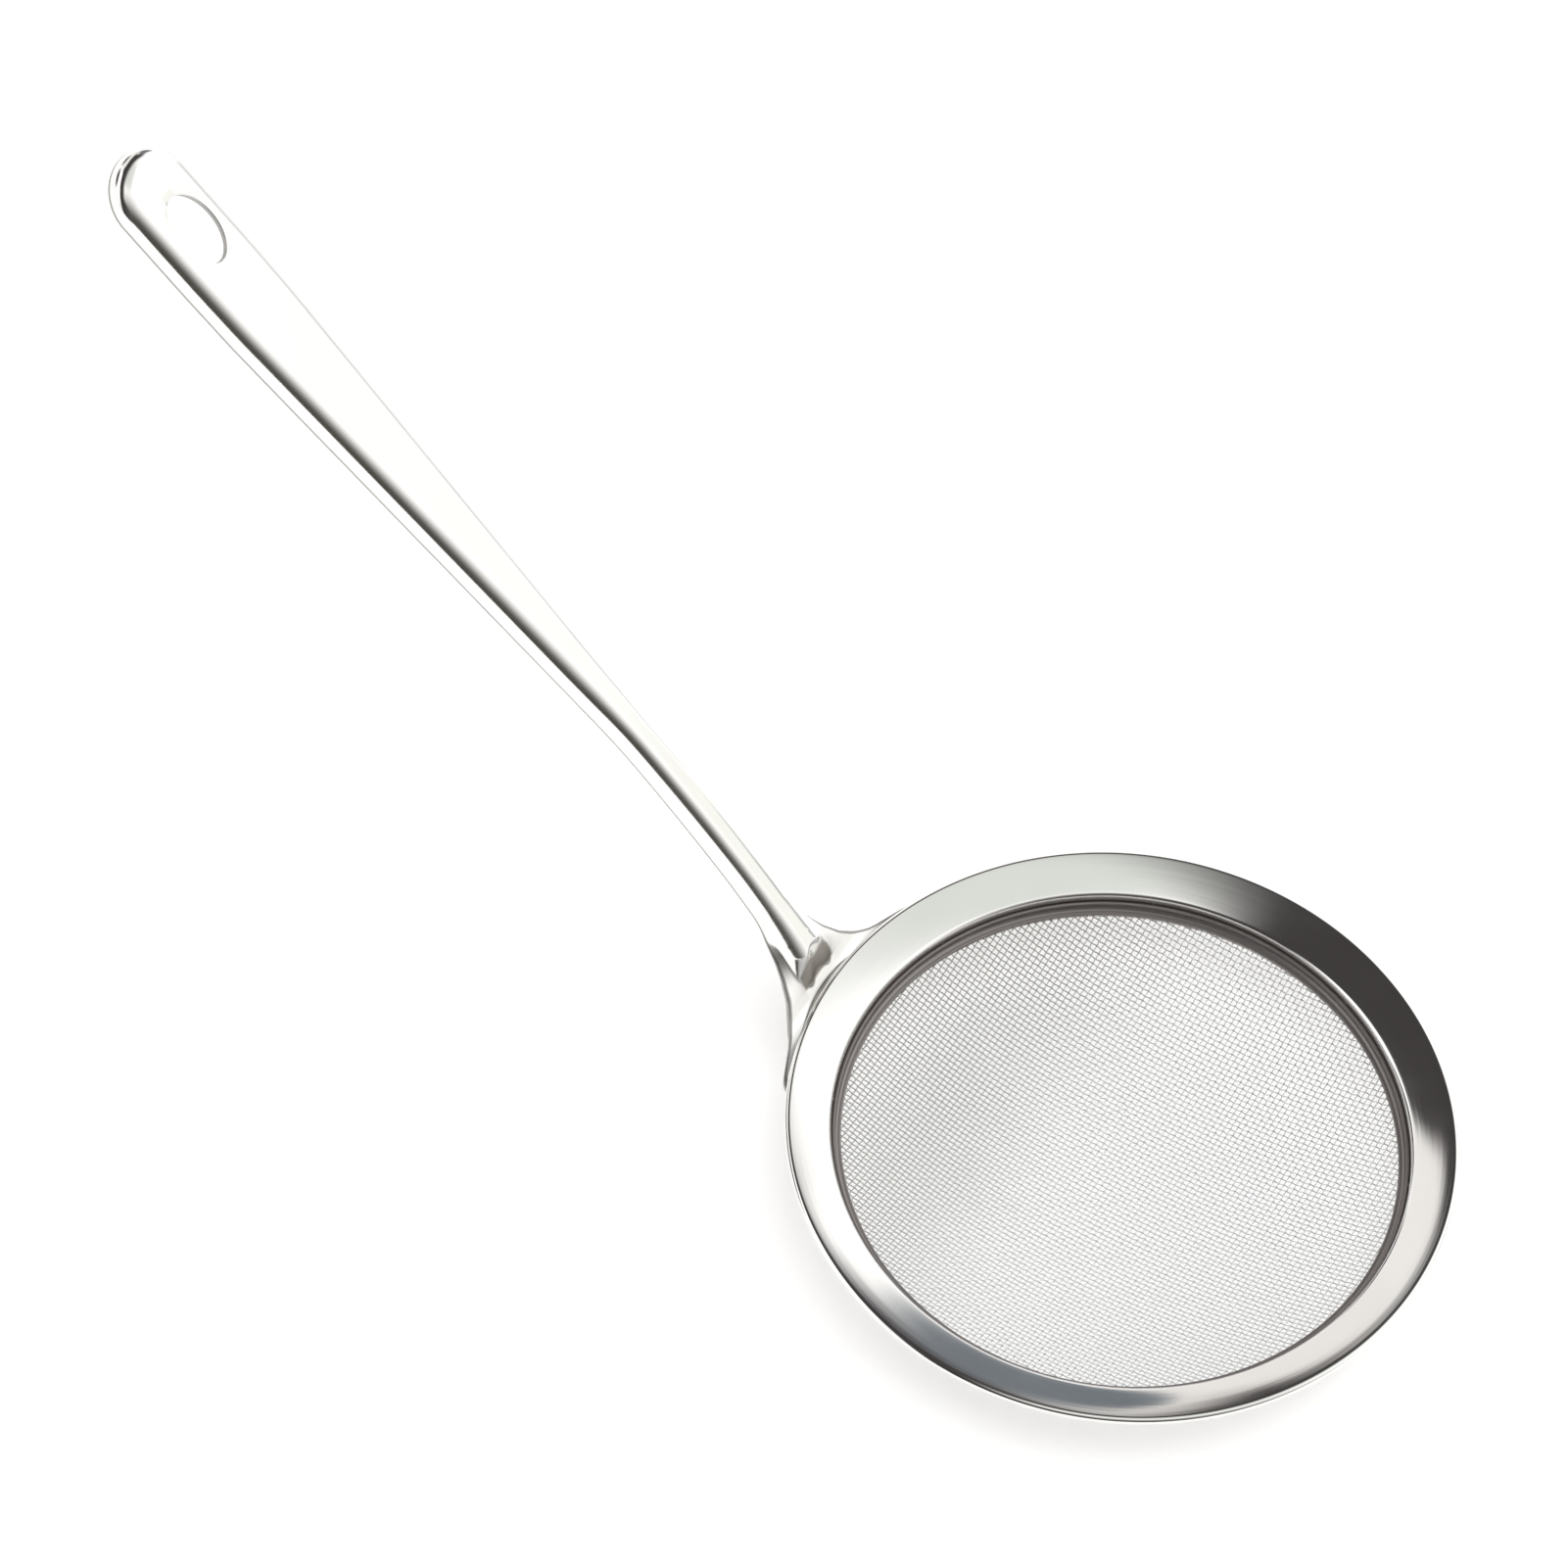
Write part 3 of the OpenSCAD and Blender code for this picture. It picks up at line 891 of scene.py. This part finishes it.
def make_panel():
    """A broad soft panel over the table that lights the floor and isn't mirrored in the steel."""
    data = bpy.data.lights.new("overhead_panel", "AREA")
    data.shape = "DISK"
    data.size = 3.0
    data.energy = 32.0
    panel = bpy.data.objects.new("overhead_panel", data)
    bpy.context.scene.collection.objects.link(panel)
    panel.location = (0.2, -0.2, 2.6)
    panel.visible_glossy = False


def rail_mask(tree, direction):
    """1 where a direction meets the ceiling rail."""
    normal, near, far, end, _ = RAIL
    across = node(tree, "ShaderNodeVectorMath", operation="DOT_PRODUCT")
    across.inputs[1].default_value = Vector(normal).normalized()
    tree.links.new(direction, across.inputs[0])
    split = node(tree, "ShaderNodeSeparateXYZ")
    tree.links.new(direction, split.inputs[0])
    return multiply(tree, [fade(tree, across.outputs["Value"], *near),
                           fade(tree, across.outputs["Value"], *far),
                           fade(tree, split.outputs[1], *end)])


def patch_mask(tree, direction, middle, inner, outer):
    """1 within inner degrees of the middle direction, 0 past outer degrees."""
    dot = node(tree, "ShaderNodeVectorMath", operation="DOT_PRODUCT")
    dot.inputs[1].default_value = Vector(middle).normalized()
    tree.links.new(direction, dot.inputs[0])
    return fade(tree, dot.outputs["Value"], math.cos(math.radians(outer)), math.cos(math.radians(inner)))


def paint(tree, last, mask, color):
    """The colour socket last with color mixed in where the mask is 1."""
    first, second, out = MIX_COLOR
    mix = node(tree, "ShaderNodeMix", data_type="RGBA")
    mix.inputs[second].default_value = (*color, 1)
    tree.links.new(mask, mix.inputs["Factor"])
    tree.links.new(last, mix.inputs[first])
    return mix.outputs[out]


def make_studio():
    """White walls all round, with the large soft panels and dark flags a product table has."""
    world = bpy.data.worlds.new("studio")
    bpy.context.scene.world = world
    world.use_nodes = True
    tree = world.node_tree
    direction = node(tree, "ShaderNodeTexCoord").outputs["Generated"]
    walls = node(tree, "ShaderNodeRGB")
    walls.outputs[0].default_value = (*WALLS, 1)
    last = walls.outputs[0]
    for middle, inner, outer, color in STUDIO:
        last = paint(tree, last, patch_mask(tree, direction, middle, inner, outer), color)
    last = paint(tree, last, rail_mask(tree, direction), RAIL[-1])
    seen = node(tree, "ShaderNodeLightPath").outputs["Is Camera Ray"]
    last = paint(tree, last, seen, WALLS)
    tree.links.new(last, tree.nodes["Background"].inputs["Color"])


def make_camera():
    """A long lens that looks down at the rim, which sits low and right of the frame's middle."""
    azimuth, elevation, roll = (math.radians(v) for v in (24.0, 55.33, 7.21))
    distance, across, down = 2.0, 0.0599, 0.0618
    back = Vector((math.sin(azimuth) * math.cos(elevation), -math.cos(azimuth) * math.cos(elevation),
                   math.sin(elevation)))
    level = Vector((math.cos(azimuth), math.sin(azimuth), 0))
    above = back.cross(level)
    right = level * math.cos(roll) + above * math.sin(roll)
    up = above * math.cos(roll) - level * math.sin(roll)
    data = bpy.data.cameras.new("camera")
    data.sensor_width = 36.0
    data.lens = 259.5
    data.clip_start, data.clip_end = 0.05, 50.0
    camera = bpy.data.objects.new("camera", data)
    bpy.context.scene.collection.objects.link(camera)
    place_at = Vector((0, 0, RIM_Z * MM)) + back * distance - right * across + up * down
    turn = Matrix((right, up, back)).transposed()
    camera.matrix_world = Matrix.Translation(place_at) @ turn.to_4x4()
    bpy.context.scene.camera = camera


# ---------------------------------------------------------------- everything
def main():
    """Makes the pieces, dresses the welds and sets the stage."""
    make_rim(rim_material())
    make_clamp_ring(clamp_material())
    make_handle(handle_material(), edge_material())
    make_cloth(wire_material())
    welds = weld_material()
    dress_cad_node("handle_welds", welds)
    dress_cad_node("clamp_welds", welds)
    make_floor()
    make_panel()
    make_studio()
    make_camera()
    bpy.context.scene.view_settings.view_transform = "Standard"


main()
